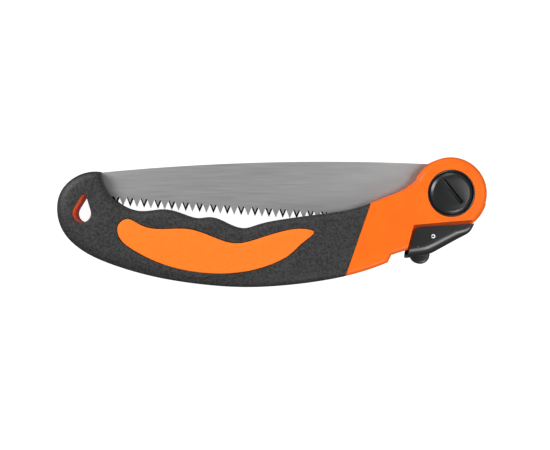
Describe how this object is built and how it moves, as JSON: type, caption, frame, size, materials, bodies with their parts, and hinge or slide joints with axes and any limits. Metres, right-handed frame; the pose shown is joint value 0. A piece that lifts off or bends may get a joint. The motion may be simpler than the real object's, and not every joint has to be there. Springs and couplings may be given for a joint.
{
  "type": "folding pruning saw",
  "caption": "Folding hand saw: curved rubber grip with side inlays, swinging toothed blade, coin-slot pivot and sprung lock lever.",
  "frame": {"origin": "on the blade's pivot axis, on the flat outer face of the far cap that the folded saw rests on", "axes": "+X from the tail of the handle to the pivot, +Y from the handle's back to its slot side, +Z through the thickness, from the face it rests on to the face with the coin slot"},
  "size_m": [0.2222, 0.0672, 0.022],
  "materials": {
    "orange_moulding": "satin moulded nylon, bright orange",
    "black_rubber": "matt thermoplastic rubber with a fine grain, black",
    "orange_rubber": "matt thermoplastic rubber, orange",
    "blade_steel": "satin ground tool steel, brushed along its length",
    "black_moulding": "satin moulded nylon, black",
    "acetal": "natural acetal",
    "plated_steel": "bright zinc plate",
    "spring_steel": "drawn spring wire"
  },
  "bodies": {
    "handle": {"handle_core": "orange_moulding", "soft_grip": "black_rubber", "grip_inlay_near": "orange_rubber", "grip_inlay_far": "orange_rubber", "pivot_bushing": "plated_steel", "blade_washer_near": "acetal", "blade_washer_far": "acetal", "wave_washer": "plated_steel", "nut_washer": "plated_steel", "pivot_nut": "plated_steel", "nut_cap": "black_moulding", "lever_spring": "spring_steel"},
    "blade": {"blade": "blade_steel"},
    "adjuster": {"pivot_cap": "black_moulding", "pivot_bolt": "plated_steel"},
    "lever": {"lock_lever": "black_moulding", "lock_pawl": "plated_steel", "lever_pin": "plated_steel"}
  },
  "joints": [
    {"name": "blade_swing", "type": "hinge", "parent": "handle", "child": "blade", "pos_m": [0, 0, 0.011], "axis": [0, 0, -1], "range_deg": [0, 165]},
    {"name": "lever_press", "type": "hinge", "parent": "handle", "child": "lever", "pos_m": [-0.0093, -0.0221, 0.011], "axis": [0, 0, -1], "range_deg": [-3.5, 4], "stiffness_Nm_per_rad": 0.6, "deforming": ["lever_spring"]},
    {"name": "adjuster_turn", "type": "hinge", "parent": "handle", "child": "adjuster", "pos_m": [0, 0, 0.0205], "axis": [0, 0, 1], "range_deg": [-45, 45]}
  ]
}
